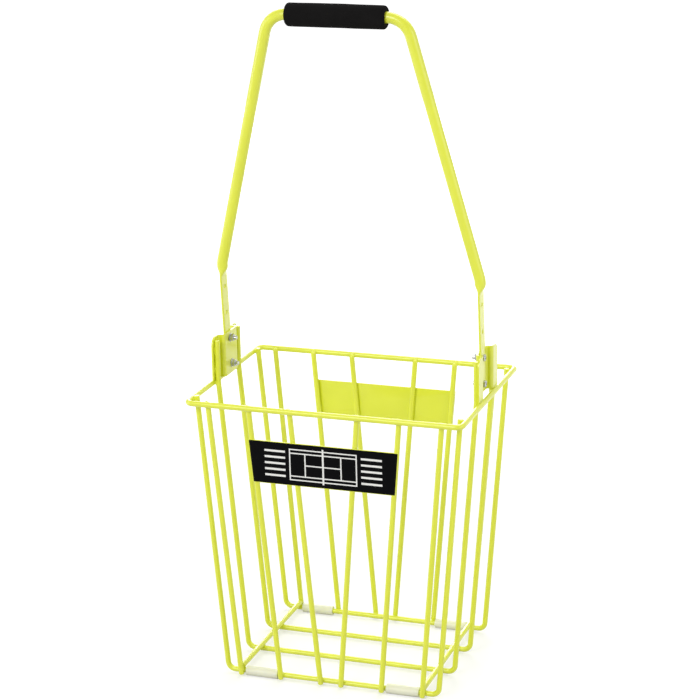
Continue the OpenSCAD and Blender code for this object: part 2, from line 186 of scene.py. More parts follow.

# %% [markdown]
# Soft vinyl. The four sleeves that the basket stands on are cut from natural PVC tube. It is milky:
# light goes a few millimetres in before it comes out, which keeps its shaded side pale. Its colour turns
# greyer in noisy patches over its lowest 4 mm.


# %% Vinyl
def milky_vinyl(name):
    """Off-white PVC tube with light scattered inside it, greyer in noisy patches close to the ground."""
    finish, tree, place = new_finish(name)
    height = add_node(tree, "ShaderNodeSeparateXYZ", links={"Vector": place})
    low = add_node(tree, "ShaderNodeMapRange", {"From Min": 4 * MM, "From Max": 0.0, "To Max": 0.6},
                   {"Value": height.outputs["Z"]})
    patch_noise = add_node(tree, "ShaderNodeTexNoise", {"Scale": per_mm(6), "Detail": 6.0, "Roughness": 0.65},
                     {"Vector": place})
    low_greying = add_node(tree, "ShaderNodeMath", links={0: low.outputs["Result"], 1: patch_noise.outputs["Fac"]},
                     operation="MULTIPLY")
    # The colour turns greyer in noisy patches towards the ground, over the lowest 4 mm.
    colour = add_node(tree, "ShaderNodeMix", {"A": paint("#e8e8d1"), "B": paint("#b0ac9b")},
                      {"Factor": low_greying.outputs[0]}, data_type="RGBA")
    rough = add_node(tree, "ShaderNodeMapRange", {"To Min": 0.32, "To Max": 0.5},
                     {"Value": patch_noise.outputs["Fac"]})
    drawn = add_node(tree, "ShaderNodeMapping", {"Scale": (0.08, 1.0, 1.0)}, {"Vector": place})
    lines = add_node(tree, "ShaderNodeTexNoise", {"Scale": per_mm(1.2), "Detail": 2.0},
                     {"Vector": drawn.outputs["Vector"]})
    streaks = add_node(tree, "ShaderNodeBump", {"Strength": 0.12, "Distance": 0.15 * MM},
                       {"Height": lines.outputs["Fac"]})
    shader = add_node(tree, "ShaderNodeBsdfPrincipled",
                      {"IOR": 1.53, "Subsurface Weight": 0.35, "Subsurface Scale": 3 * MM,
                       "Subsurface Radius": (1.0, 0.9, 0.7)},
                      {"Base Color": colour.outputs["Result"], "Roughness": rough.outputs["Result"],
                       "Normal": streaks.outputs["Normal"]})
    return finished(finish, tree, shader)


vinyl = milky_vinyl("milky_pvc_tube")

# %% [markdown]
# Zinc plate. Bolts, washers and nuts are plain steel with a bright zinc finish. Barrel plating leaves
# a fine grey cloudiness and a slight blue or straw tint from the passivating dip. The cloudiness is
# drawn reaching down to dark grey, which is painted reflection: it stands in for dark things mirrored
# in the metal.


# %% Zinc plate
def zinc_plate(name):
    """Bright zinc plating on steel: tint and polish vary over a few millimetres, the dark tints painted
    reflection.
    """
    finish, tree, place = new_finish(name)
    cloud = add_node(tree, "ShaderNodeTexNoise", {"Scale": per_mm(3), "Detail": 4.0}, {"Vector": place})
    # Cloudy plating tint, from a dark grey that is painted reflection of dark surroundings to pale zinc.
    cloud_and_painted_reflection = add_node(tree, "ShaderNodeMix", {"A": paint("#8d939a"), "B": paint("#cbcac2")},
                    {"Factor": cloud.outputs["Fac"]}, data_type="RGBA")
    rough = add_node(tree, "ShaderNodeMapRange", {"To Min": 0.12, "To Max": 0.32},
                     {"Value": cloud.outputs["Fac"]})
    grain = add_node(tree, "ShaderNodeTexNoise", {"Scale": per_mm(0.5), "Detail": 2.0}, {"Vector": place})
    soft = add_node(tree, "ShaderNodeBevel", {"Radius": 0.25 * MM}, samples=6)
    pits = add_node(tree, "ShaderNodeBump", {"Strength": 0.08, "Distance": 0.1 * MM},
                    {"Height": grain.outputs["Fac"], "Normal": soft.outputs["Normal"]})
    shader = add_node(tree, "ShaderNodeBsdfPrincipled", {"Metallic": 1.0},
                      {"Base Color": cloud_and_painted_reflection.outputs["Result"], "Roughness": rough.outputs["Result"],
                       "Normal": pits.outputs["Normal"]})
    return finished(finish, tree, shader)


zinc = zinc_plate("bright_zinc_plate")

# %% [markdown]
# Label film. The front plate carries a printed vinyl film: a black ground and white ink under a matt
# laminate. The laminate takes nearly all reflection away, so black stays black from any side. What is
# left is a faint texture from the liner that the film was peeled off.


# %% Label film and ink
def printed_film(name, ink, shade, rough_from, rough_to):
    """A matt printed vinyl film: two close tones of one ink, and a roughness that varies a little."""
    finish, tree, place = new_finish(name)
    liner = add_node(tree, "ShaderNodeTexNoise", {"Scale": per_mm(1.6), "Detail": 3.0}, {"Vector": place})
    haze = add_node(tree, "ShaderNodeTexNoise", {"Scale": per_mm(30), "Detail": 4.0}, {"Vector": place})
    tone = add_node(tree, "ShaderNodeMix", {"A": paint(ink), "B": paint(shade)},
                    {"Factor": haze.outputs["Fac"]}, data_type="RGBA")
    rough = add_node(tree, "ShaderNodeMapRange", {"To Min": rough_from, "To Max": rough_to},
                     {"Value": haze.outputs["Fac"]})
    bump = add_node(tree, "ShaderNodeBump", {"Strength": 0.06, "Distance": 0.1 * MM},
                    {"Height": liner.outputs["Fac"]})
    shader = add_node(tree, "ShaderNodeBsdfPrincipled", {"IOR": 1.5, "Specular IOR Level": 0.04},
                      {"Base Color": tone.outputs["Result"], "Roughness": rough.outputs["Result"],
                       "Normal": bump.outputs["Normal"]})
    return finished(finish, tree, shader)


black_film = printed_film("black_vinyl_film", "#040405", "#070709", 0.42, 0.55)
white_ink = printed_film("white_screen_ink", "#f0f0ec", "#e6e6e2", 0.45, 0.6)

# %% [markdown]
# Nearly everything here is a rod or a ring: a profile carried along a path. So two functions join rows
# of points into faces, and the pieces only work out their rows. The rows are whole numpy arrays, and no
# loop visits a vertex. Faces are kept in blocks, one array for each kind of face.


# %% Skins from rows of points
def sheet(grid, loop=False, wrap=True):
    """Joins row i to row i + 1 and point j to point j + 1 with quads. A loop joins the last row to the
    first, and wrapped rows their last point to their first. Returns points and blocks of faces."""
    count, around = grid.shape[:2]
    rows, columns = count if loop else count - 1, around if wrap else around - 1
    i, j = np.meshgrid(np.arange(rows), np.arange(columns), indexing="ij")
    k, m = (i + 1) % count, (j + 1) % around
    quads = np.stack([i * around + j, k * around + j, k * around + m, i * around + m], -1)
    return grid.reshape(-1, 3), [quads.reshape(-1, 4)]


def skin(rings, closed=False):
    """A sheet over a row of rings. If the row is open, a fan closes each end around its ring's mean."""
    points, blocks = sheet(rings, closed)
    if not closed:
        count, around = rings.shape[:2]
        points = np.vstack([points, rings[0].mean(0), rings[-1].mean(0)])
        j = np.arange(around)
        m = (j + 1) % around
        hub = np.full(around, count * around)
        last = (count - 1) * around
        blocks += [np.stack([hub, j, m], -1), np.stack([hub + 1, last + m, last + j], -1)]
    return points, blocks


def join(shapes):
    """One shape from several: each one's face numbers move up by the count of the points before it."""
    starts = np.cumsum([0] + [len(points) for points, _ in shapes])
    blocks = [block + start for (_, own), start in zip(shapes, starts) for block in own]
    return np.vstack([points for points, _ in shapes]), blocks


print("faces on two rings of 24:", sum(len(block) for block in skin(np.zeros((2, 24, 3)))[1]))

# %% [markdown]
# From a shape to a piece. Points that lie on one another along a seam are merged, and all faces are
# turned outwards, so that light and the mesh agree on what is inside. The piece then rides on its body,
# the basket or the handle, and the CAD nodes it stands for are hidden.

# %% From a shape to a piece
MERGE = 0.002


def make_piece(name, shape, finish, body, replaced=(), sharp=40):
    """A shape as a piece on its body. Faces that meet at more than the sharp angle, in degrees, keep a
    crisp edge between them."""
    points, blocks = shape
    mesh = bpy.data.meshes.new(name)
    mesh.from_pydata((points * MM).tolist(), [], [face for block in blocks for face in block.tolist()])
    work = bmesh.new()
    work.from_mesh(mesh)
    bmesh.ops.remove_doubles(work, verts=work.verts, dist=MERGE * MM)
    bmesh.ops.recalc_face_normals(work, faces=work.faces)
    work.to_mesh(mesh)
    work.free()
    mesh.polygons.foreach_set("use_smooth", np.ones(len(mesh.polygons), bool))
    mesh.set_sharp_from_angle(angle=math.radians(sharp))
    mesh.materials.append(finish)
    piece = bpy.data.objects.new(name, mesh)
    scene.collection.objects.link(piece)
    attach(piece, body)
    if replaced:
        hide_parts(*replaced)
    print(f"{name}: {len(mesh.vertices)} points, {len(mesh.polygons)} faces, on {body}")
    return piece


def coated(node, shape, body="basket"):
    """A coated steel piece that stands for the CAD node of that name."""
    return make_piece(f"{node}_coated", shape, coat_on_wire, body, [node])


print("points closer than", MERGE, "mm are merged")

# %% [markdown]
# A round wire. It is drawn, cut to length and bent over a former, and the coat goes over its cut ends
# too. A curve with a round bevel could make it, but that ends in flat discs. Here rings are set along a
# path that lies in one plane, so the ring's two directions are known at each point and never twist.
# The coat is drawn 0.25 mm thick on the bare CAD wire. That is more than a real film has, and as full
# as the wires of this basket look.

# %% Rods along a path
AROUND, END_STEPS = 24, 7
COAT, CUT_ROUND = 0.25, 0.9


def unit(v):
    """A vector, or rows of them, divided by its length."""
    return v / np.linalg.norm(v, axis=-1, keepdims=True)


def headings(path, closed=False):
    """The direction of travel at each point: the mean of the steps before and after it."""
    steps = np.diff(path, axis=0)
    home = path[:1] - path[-1:]
    first, last = (home, home) if closed else (steps[:1], steps[-1:])
    steps = unit(np.vstack([first, steps, last]))
    return unit(steps[:-1] + steps[1:])


def arc(centre, radius, start, end, steps):
    """Points of an arc: centre + radius (cos a, sin a), for a from start to end in degrees."""
    a = np.radians(np.linspace(start, end, steps + 1))
    return np.array(centre) + radius * np.stack([np.cos(a), np.sin(a)], -1)


def quarter(count):
    """A quarter round of radius 1, from the end face to the side: at each point its distance from the
    end face, 1 - sin a, and from the side, 1 - cos a, for a from 90 to 0 degrees."""
    a = np.radians(np.linspace(90, 0, count))
    return 1 - np.sin(a), 1 - np.cos(a)


def rod(path, radius, across, edges=(CUT_ROUND, CUT_ROUND), closed=False):
    """A coated round wire along a flat path. A ring's point is path + r (cos t across + sin t side),
    where across is normal to the path's plane and side to both. At an open end the wire was sheared
    and coated, so its rings move in and shrink along a quarter round."""
    radius = radius + COAT
    along = headings(path, closed)
    radii = np.full(len(path), radius)
    if not closed:
        inset, shrink = quarter(END_STEPS)
        first = path[0] + edges[0] * inset[:, None] * along[0]
        last = path[-1] - edges[1] * inset[::-1, None] * along[-1]
        path = np.vstack([first, path[1:-1], last])
        along = np.repeat(along, [END_STEPS] + [1] * (len(along) - 2) + [END_STEPS], axis=0)
        radii = np.concatenate([radius - edges[0] * shrink, radii[1:-1],
                                radius - edges[1] * shrink[::-1]])
    side = np.cross(along, across)
    t = np.linspace(0, 2 * np.pi, AROUND, endpoint=False)[None, :, None]
    rings = path[:, None] + radii[:, None, None] * (np.cos(t) * across + np.sin(t) * side[:, None])
    return skin(rings, closed)


print("one ring has", AROUND, "points")

# %% [markdown]
# The basket's wires follow the paths of the CAD model. A wall leans as far as its bars need to lie
# inside the rim and just touch it. How far two touching wires are apart, seen level, depends on the lean
# itself, so a first guess at the lean gives the distance and the distance gives the lean.

# %% Sizes of the basket
WIRE_R, RIM_R, WELD_GAP = 3.0, 3.15, 0.05
FLOOR_Z, FLOOR_PITCH, FLOOR_L, FLOOR_BEND = 5.5, 67.0, 267.0, 9.0
RIM_L, RIM_W, RIM_CORNER, RIM_H = 336.0, 238.0, 8.0, 343.0
SIDE_STUB, UPSTAND_TOP, UPSTAND_BEND = 4.0, 400.95, 20.0
END_PITCH, END_SPLIT_RIM, END_SPLIT_FLOOR, END_STUB = 51.0, 83.0, 26.0, 1.5
X, Y, Z = np.eye(3)
touch = WIRE_R + RIM_R + WELD_GAP
pair = 2 * WIRE_R + WELD_GAP
half_floor = FLOOR_L / 2
floor_y = 1.5 * FLOOR_PITCH
rim_z = FLOOR_Z + RIM_H
side_guess = math.atan((RIM_L / 2 - touch - half_floor) / RIM_H)
side_lean = math.atan((RIM_L / 2 - touch / math.cos(side_guess) - half_floor) / RIM_H)
end_guess = math.atan((RIM_W / 2 - touch - floor_y - pair) / RIM_H)
end_y_floor = floor_y + pair / math.cos(end_guess)
end_y_rim = RIM_W / 2 - touch / math.cos(end_guess)
end_lean = math.atan((end_y_rim - end_y_floor) / RIM_H)
end_h = RIM_H / math.cos(end_lean)
print("lean of the sides and ends:", np.degrees([side_lean, end_lean]).round(2))

# %% [markdown]
# U-shaped wires. Each is one wire, bent twice over a small former, and makes a rung of the floor and two
# side bars. The two inner ones bend once more at the rim and stand upright above it, to carry the
# brackets. Half a path is enough: a bend and a leaning straight, mirrored on the rung's other end.

# %% U-shaped wires
BEND_STEPS, BAR_STEPS, TURN_STEPS, RISE_STEPS, RUNG_STEPS = 12, 13, 4, 4, 11


def side_x(h):
    """Distance of a side bar from the middle of the basket, at a height above the floor wires."""
    return half_floor + h * math.tan(side_lean)


upstand_x = side_x(RIM_H) + UPSTAND_BEND * (1 - math.cos(side_lean))


def u_wire(y, inner):
    """A floor rung with a side bar at each end: a straight, a bend and a leaning straight, mirrored."""
    lean = math.degrees(side_lean)
    corner = half_floor - FLOOR_BEND * math.tan((math.pi / 2 - side_lean) / 2)
    bend = arc((corner, FLOOR_BEND), FLOOR_BEND, -90, -lean, BEND_STEPS)
    heights = np.linspace(bend[-1, 1], RIM_H if inner else RIM_H + SIDE_STUB, BAR_STEPS + 1)[1:]
    half = np.vstack([bend, np.stack([side_x(heights), heights], -1)])
    if inner:
        centre = (upstand_x - UPSTAND_BEND, RIM_H + UPSTAND_BEND * math.sin(side_lean))
        turn = arc(centre, UPSTAND_BEND, -lean, 0, TURN_STEPS)[1:]
        rise = np.linspace(turn[-1], (upstand_x, UPSTAND_TOP - FLOOR_Z), RISE_STEPS + 1)[1:]
        half = np.vstack([half, turn, rise])
    rung = np.linspace((-corner, 0), (corner, 0), RUNG_STEPS + 1)[1:-1]
    flat = np.vstack([half[::-1] * (-1, 1), rung, half])
    path = np.stack([flat[:, 0], np.full(len(flat), y), flat[:, 1] + FLOOR_Z], -1)
    return rod(path, WIRE_R, Y)


for i in range(1, 5):
    wire = u_wire((i - 2.5) * FLOOR_PITCH, i in (2, 3))
    coated(f"side_wire_{i}", wire)

# %% [markdown]
# Bars of the end walls. Six straight bars stand in each end wall, in two halves of three that lean apart
# towards the rim. A wall is a tilted plane, so its bars and plates are drawn in places along it, out of
# it and up its slope. The tops of the bars are rounder than their feet, and end just below the rim's top.

# %% Bars of the end walls
END_BAR_POINTS, TOP_ROUND = 26, 2.6


def end_place(x, outwards, h, end):
    """A point of an end wall: x along it, a distance outwards from its wires, h up its slope.
    The front wall is turned about X by its lean; the rear one is its mirror image."""
    c, s = math.cos(end_lean), math.sin(end_lean)
    x, outwards, h = np.broadcast_arrays(*(np.asarray(v, float) for v in (x, outwards, h)))
    y = -end_y_floor - outwards * c - h * s
    z = FLOOR_Z - outwards * s + h * c
    return np.stack([x, y if end == "front" else -y, z], -1)


def end_x(i, h):
    """Place of bar i of 6 along an end wall, at h up its slope, counted from the left."""
    side, step = (1, i - 4) if i > 3 else (-1, 3 - i)
    low, high = END_SPLIT_FLOOR / 2 + step * END_PITCH, END_SPLIT_RIM / 2 + step * END_PITCH
    return side * (low + (high - low) * np.asarray(h) / end_h)


for end in ("front", "rear"):
    for i in range(1, 7):
        h = np.linspace(-WIRE_R, end_h + END_STUB, END_BAR_POINTS)
        path = end_place(end_x(i, h), 0, h, end)
        across = unit(np.cross(path[-1] - path[0], X))
        coated(f"{end}_wire_{i}", rod(path, WIRE_R, across, (CUT_ROUND, TOP_ROUND)))

# %% [markdown]
# Floor rods. Two short rods lie on the four rungs, in line with the outermost bars of the end walls, and
# tie the rungs together. They end just past the middle of the outer rungs.

# %% Floor rods
ROD_POINTS, ROD_OVER = 18, 1.5
rod_x = float(end_x(6, 0))
for side, name in ((-1, "left"), (1, "right")):
    reach = np.array([0, floor_y + ROD_OVER, 0])
    middle = np.array([side * rod_x, 0, FLOOR_Z + pair])
    path = np.linspace(middle - reach, middle + reach, ROD_POINTS)
    coated(f"floor_rod_{name}", rod(path, WIRE_R, Z))

# %% [markdown]
# Rim. One slightly thicker wire is bent to a rectangle and welded end to end into a ring, which all the
# bars are welded inside. Its path is four quarter arcs. Points are then spread along the straights, so
# that no face is much longer than the others.

# %% The rim
RIM_STEPS, RIM_GAP = 8, 20.0


def round_corners(centres, radius, steps):
    """A closed outline, anticlockwise: a quarter arc around each of four centres, top right first."""
    return np.vstack([arc(c, radius, 90 * q, 90 * q + 90, steps) for q, c in enumerate(centres)])


def spread(path, gap):
    """Adds points on the long straights of a closed path, so that no step is longer than the gap."""
    steps = np.roll(path, -1, 0) - path
    counts = np.maximum(1, np.ceil(np.linalg.norm(steps, axis=1) / gap).astype(int))
    rows = np.repeat(np.arange(len(path)), counts)
    part = np.arange(len(rows)) - np.repeat(np.cumsum(counts) - counts, counts)
    return path[rows] + steps[rows] * (part / counts[rows])[:, None]


x, y = RIM_L / 2 - RIM_CORNER, RIM_W / 2 - RIM_CORNER
corners = ((x, y), (-x, y), (-x, -y), (x, -y))
rim_path = spread(round_corners(corners, RIM_CORNER, RIM_STEPS), RIM_GAP)
rim_path = np.column_stack([rim_path, np.full(len(rim_path), rim_z)])
coated("rim_ring", rod(rim_path, RIM_R, Z, closed=True))

# %% [markdown]
# Welds. Each crossing is resistance welded: the wires are pressed together hot and a little metal is
# squeezed out around the contact. Under the coat that shows as a smooth fillet in the corner between the
# two wires. A flattened bead at each contact gives the same look. A seam bead, between a bar and a plate,
# stays thinner than the plate, so that it doesn't come out in front.

# %% Weld beads
BEAD_UP, BEAD_AROUND, BEAD_SEED, BEAD_VARY = 9, 14, 7, 0.1
CROSS, SEAM = (3.55, 3.55, 1.8), (5.7, 2.95, 1.1)


def beads(rows):
    """Ellipsoids at many places at once, from rows of (centre, along, normal, sizes). A point is
    centre + sizes . (cos u cos v, cos u sin v, sin u) along the wire, across it, and from wire to wire.
    Each bead's sizes vary by a seeded tenth."""
    centres, along, normal, sizes = (np.array(column, float) for column in zip(*rows))
    vary = np.random.default_rng(BEAD_SEED).uniform(1 - BEAD_VARY, 1 + BEAD_VARY, sizes.shape)
    u = np.radians(np.linspace(-90, 90, BEAD_UP))[1:-1]
    v = np.radians(np.linspace(0, 360, BEAD_AROUND, endpoint=False))
    u, v = np.meshgrid(u, v, indexing="ij")
    globe = np.stack([np.cos(u) * np.cos(v), np.cos(u) * np.sin(v), np.sin(u)], -1)
    along, normal = unit(along), unit(normal)
    frames = np.stack([along, np.cross(normal, along), normal], 1)
    local = globe * (sizes * vary)[:, None, None]
    return [skin(rings) for rings in np.einsum("kuvi,kij->kuvj", local, frames) + centres[:, None, None]]


rows = []
for i in range(4):
    y = (i - 1.5) * FLOOR_PITCH
    for side in (-1, 1):
        rows.append(((side * (side_x(RIM_H) + WIRE_R), y, rim_z), Y, X * side, CROSS))
        rows.append(((side * rod_x, y, FLOOR_Z + WIRE_R), Y, Z, CROSS))
for end, out in (("front", -1), ("rear", 1)):
    for i in range(1, 7):
        rows.append((end_place(end_x(i, end_h), WIRE_R, end_h, end), X, Y * out, CROSS))
        rows.append(((float(end_x(i, 0)), out * (floor_y + WIRE_R), FLOOR_Z), X, Y * out, CROSS))
print("wire crossings:", len(rows))

# %% [markdown]
# Plates. Two strips of sheet steel are welded outside the end walls: the front one carries the label.
# A box with a bevel would do for a square plate, but these are as wide as the four bars behind them,
# which lean. So each plate is an outline that steps in at its edges by the small quarter round that
# sheared and coated sheet has.

# %% Outline and slab of a sheet
PLATE_T, PLATE_GAP, PLATE_CORNER, PLATE_EDGE = 1.2, WIRE_R + WELD_GAP, 1.2, 0.4
CORNER_STEPS, EDGE_POINTS = 6, 5


def wall_outline(low, high, inset, corner):
    """A plate's outline, as wide as the four bars behind it, with round corners, anticlockwise.
    Returns places along the wall and up its slope."""
    h = np.array([low + inset, high - inset])
    half = end_x(5, h) + WIRE_R - inset
    corners = np.array([(half[1], h[1]), (-half[1], h[1]), (-half[0], h[0]), (half[0], h[0])])
    middle = corners + corner * np.array([(-1, -1), (1, -1), (1, 1), (-1, 1)])
    return round_corners(middle, corner, CORNER_STEPS)


def slab(outline, near, far, edge, end):
    """A sheet on an end wall between two distances outwards from its wires. Its rings step in along a
    quarter round of the edge's radius as they come near a face. An outline that runs anticlockwise has
    its outward normals at -90 degrees to its headings."""
    heading = headings(outline, closed=True)
    normal = np.stack([heading[:, 1], -heading[:, 0]], -1)
    inset, shrink = quarter(EDGE_POINTS)
    step = edge * np.concatenate([shrink, shrink[::-1]])
    level = np.concatenate([near + edge * inset, far - edge * inset[::-1]])
    flat = outline - step[:, None, None] * normal
    return skin(end_place(flat[..., 0], level[:, None], flat[..., 1], end))


print("a plate's outline has", len(wall_outline(0, 50, 0, PLATE_CORNER)), "points")

# %% Both plates and their welds
FRONT_DROP, FRONT_TALL, REAR_DROP, REAR_TALL, SEAM_IN = 38.5, 53.0, 35.5, 46.0, 9.0
plate_face = PLATE_GAP + PLATE_T
front_high, rear_high = end_h - FRONT_DROP, end_h - REAR_DROP
front_low, rear_low = front_high - FRONT_TALL, rear_high - REAR_TALL
for end, low, high, slot in (("front", front_low, front_high, "label_plate"),
                             ("rear", rear_low, rear_high, "powder_coat")):
    plate = slab(wall_outline(low, high, 0, PLATE_CORNER), PLATE_GAP, plate_face, PLATE_EDGE, end)
    coated(f"{end}_plate", plate)
    for i in range(2, 6):
        lean = end_place(end_x(i, high), 0, high, end) - end_place(end_x(i, low), 0, low, end)
        for h in (low + SEAM_IN, high - SEAM_IN):
            rows.append((end_place(end_x(i, h), WIRE_R, h, end), lean, Y, SEAM))

# %% [markdown]
# Label. The film lies on the front plate with a hairline of yellow around it. What is printed on it is a
# plain drawing of a court seen from above, between two stacks of bars: it says what the basket is for
# with no words. A picture could be laid on the film, but the ink lines here are very thin sheets, so
# they are real shapes in the model too.

# %% Label film
FILM_T, FILM_INSET, FILM_CORNER, FILM_EDGE = 0.12, 0.7, 0.8, 0.05
film_face = plate_face + FILM_T
film = slab(wall_outline(front_low, front_high, FILM_INSET, FILM_CORNER), plate_face, film_face,
            FILM_EDGE, "front")
make_piece("label_film", film, black_film, "basket")

# %% Court lines
INK_T, SECOND_INK_T = 0.04, 0.07
LINE_W, NET_W, BAR_W = 1.5, 2.2, 2.6
COURT_L, COURT_W, ALLEY, SERVICE, NET_OVER = 41.0, 18.9, 4.7, 22.1, 1.9
BAR_FROM, BAR_TO, BAR_PITCH, BARS = 48.0, 71.0, 7.56, 5


def ink_line(x0, h0, x1, h1, width):
    """A straight ink line between two places on the film: a thin slab with square ends. Lines that run
    up the film are printed second, so they lie a little higher than the ones they cross."""
    ends = np.array([[x0, h0], [x1, h1]], float)
    heading = unit(ends[1] - ends[0])
    side = np.array([-heading[1], heading[0]]) * width / 2
    start, stop = ends + np.outer([-1, 1], heading) * width / 2
    flat = np.array([start - side, stop - side, stop + side, start + side])
    rise = INK_T if h0 == h1 else SECOND_INK_T
    level = np.array([[film_face], [film_face + rise]])
    return skin(end_place(flat[None, :, 0], level, flat[None, :, 1], "front"))


middle_h = (front_low + front_high) / 2
singles = COURT_W - ALLEY
net = COURT_W + NET_OVER
court = [(-COURT_L, s * w, COURT_L, s * w, LINE_W) for s in (-1, 1) for w in (COURT_W, singles)]
court += [(s * COURT_L, -COURT_W, s * COURT_L, COURT_W, LINE_W) for s in (-1, 1)]
court += [(s * SERVICE, -singles, s * SERVICE, singles, LINE_W) for s in (-1, 1)]
court += [(-SERVICE, 0, SERVICE, 0, LINE_W), (0, -net, 0, net, NET_W)]
heights = (np.arange(BARS) - (BARS - 1) / 2) * BAR_PITCH
court += [(s * BAR_FROM, h, s * BAR_TO, h, BAR_W) for s in (-1, 1) for h in heights]
lines = [ink_line(x0, middle_h + h0, x1, middle_h + h1, width) for x0, h0, x1, h1, width in court]
make_piece("label_print", join(lines), white_ink, "basket")

# %% [markdown]
# Brackets. The two pressed hat-section brackets keep their CAD solids, because their bends, bolt holes
# and curved slots are exact there. They only take the coat, whose shader rounds the sheet's edges. Their
# lips are welded along the two inner side wires, which adds the last beads.

# %% Brackets and the weld piece
BRACKET_LOW, BRACKET_TOP, WELD_UP, WELD_DOWN = 351.95, 404.95, 12.0, 16.0
for name in ("bracket_left", "bracket_right"):
    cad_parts[name].data.materials.clear()
    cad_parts[name].data.materials.append(coat_on_sheet)
for side in (-1, 1):
    for y in (-FLOOR_PITCH / 2, FLOOR_PITCH / 2):
        for z in (BRACKET_LOW + WELD_UP, BRACKET_TOP - WELD_DOWN):
            rows.append(((side * (upstand_x + WIRE_R), y, z), Z, X * side, SEAM))
make_piece("weld_beads", join(beads(rows)), coat_on_wire, "basket", sharp=80)
print("weld beads:", len(rows))

# %% [markdown]
# Bail handle. One steel tube is bent at four places, and each end is pressed flat into a strap and
# drilled. A flattened tube keeps its girth: 13.4 mm round becomes 19.6 by 2.5 mm with half-round edges.
# That is 1 mm more across the tube than in the CAD model, as full as the coated handle looks.

# %% Sizes of the handle
TUBE_R, STRAP_W, STRAP_T, STRAP_MID = 6.7, 19.6, 2.5, 160.447
BOLT_PITCH, HOLE_R, HOLES, STRAP_TOP, FLATTEN = 33.0, 2.58, 4, 111.0, 14.0
KINK_R, TOP_R, HANDLE_H, TOP_RUN = 30.0, 28.0, 435.0, 60.5
PIVOT_Z, HANDLE_LEAN = 363.95, math.radians(5)
kink_z = STRAP_TOP + FLATTEN
edge_r = STRAP_T / 2
flat_half = STRAP_W / 2 - edge_r
leg_dx, leg_dz = STRAP_MID - KINK_R - TOP_RUN, HANDLE_H - TOP_R - kink_z
leg_lean = math.atan2(leg_dx, leg_dz) + math.asin((KINK_R - TOP_R) / math.hypot(leg_dx, leg_dz))


def on_handle(points):
    """From the handle's own frame, with Z up the straps from the pivot bolts, to the basket's:
    turned about X by the lean, then lifted to the pivot."""
    c, s = math.cos(HANDLE_LEAN), math.sin(HANDLE_LEAN)
    x, y, z = np.moveaxis(points, -1, 0)
    return np.stack([x, y * c - z * s, y * s + z * c + PIVOT_Z], -1)


print("legs lean", round(math.degrees(leg_lean), 2), "degrees")

# %% [markdown]
# Straps. A drilled strap could be cut with a Boolean, which leaves long thin triangles that shade badly.
# Here the flat is a row of patches, one around each hole, whose rows run from the hole's edge to the
# patch's outline. The half-round edge is then one strip all along the outline.

# %% A flat patch around a hole
ACROSS, SIDE_STEPS, TOE_STEPS, EDGE_STEPS = 12, 8, 28, 8
HOLE_EDGE, PATCH_ROWS = 0.2, (0.0, 0.35, 1.0)
toe = arc((0, 0), flat_half, 180, 360, TOE_STEPS)


def walk(corners, counts):
    """Points along straight lines from each corner to the next, in a number of steps for each line. The
    last corner is left out, because another stretch starts there."""
    lines = zip(corners[:-1], corners[1:], counts)
    return np.vstack([np.linspace(a, b, count + 1)[:-1] for a, b, count in lines])


def hole_patch(i):
    """The flat of the strap around hole i, as rows from the hole's edge to the patch's outline: a row's
    point is (1 - v) circle + v outline, at the outline point's own angle. The lowest patch ends in a
    half circle, the strap's toe."""
    f, down = flat_half, BOLT_PITCH / 2
    up = BOLT_PITCH / 2 if i < HOLES - 1 else STRAP_TOP - i * BOLT_PITCH
    counts = (SIDE_STEPS, ACROSS, SIDE_STEPS)
    upper = walk([(f, 0), (f, up), (-f, up), (-f, 0)], counts)
    lower = toe[:-1] if i == 0 else walk([(-f, 0), (-f, -down), (f, -down), (f, 0)], counts)
    outline = np.vstack([upper, lower])
    v = np.array(PATCH_ROWS)[:, None, None]
    patch = (1 - v) * unit(outline) * (HOLE_R + HOLE_EDGE) + v * outline
    return patch + np.array([0, i * BOLT_PITCH])


print("a patch has", hole_patch(1).shape[1], "points around")

# %% A whole strap
edge_turn = np.radians(np.linspace(90, -90, EDGE_STEPS + 1))


def lay(patch, x):
    """Puts a flat patch of (y, z) places at a distance x from the strap's middle plane."""
    return np.concatenate([np.broadcast_to(np.asarray(x, float), patch.shape[:-1])[..., None], patch], -1)


def strap():
    """Both flats of a strap with their holes, the holes' walls with a small chamfer, and the half-round
    edge all along the outline: outline + r cos a outwards, at r sin a from the middle plane."""
    shapes = []
    depth = np.array([edge_r, edge_r - HOLE_EDGE, HOLE_EDGE - edge_r, -edge_r])[:, None]
    for i in range(HOLES):
        patch = hole_patch(i)
        middle = np.array([0, i * BOLT_PITCH])
        bore = unit(patch[0] - middle) * HOLE_R + middle
        wall = np.stack([patch[0], bore, bore, patch[0]])
        shapes += [sheet(lay(patch, x)) for x in (edge_r, -edge_r)]
        shapes.append(sheet(lay(wall, depth)))
    knots = np.append(np.arange(2 * HOLES - 1) * BOLT_PITCH / 2, STRAP_TOP)
    side = walk([(flat_half, knot) for knot in knots], [SIDE_STEPS] * (len(knots) - 1))
    side = np.vstack([side[1:], (flat_half, STRAP_TOP)])
    outline = np.vstack([side[::-1] * (-1, 1), toe, side])
    sideways = np.zeros_like(side) + (1, 0)
    outward = np.vstack([-sideways, unit(toe), sideways])
    rounded = outline + edge_r * np.cos(edge_turn)[:, None, None] * outward
    shapes.append(sheet(lay(rounded, edge_r * np.sin(edge_turn)[:, None]), wrap=False))
    points, blocks = join(shapes)
    return points + np.array([STRAP_MID, 0, 0]), blocks


print("points on one strap:", len(strap()[0]))

# %% [markdown]
# Tube. The press that flattens its ends leaves a short stretch where the section goes from flat to round.
# So every ring has the same number of points, placed by their share of the girth, and each point slides
# from its place on the flat to its place on the circle.

# %% The tube
PRESS_STEPS, KINK_STEPS, LEG_STEPS, TOP_STEPS, RUN_STEPS = 12, 8, 15, 18, 4


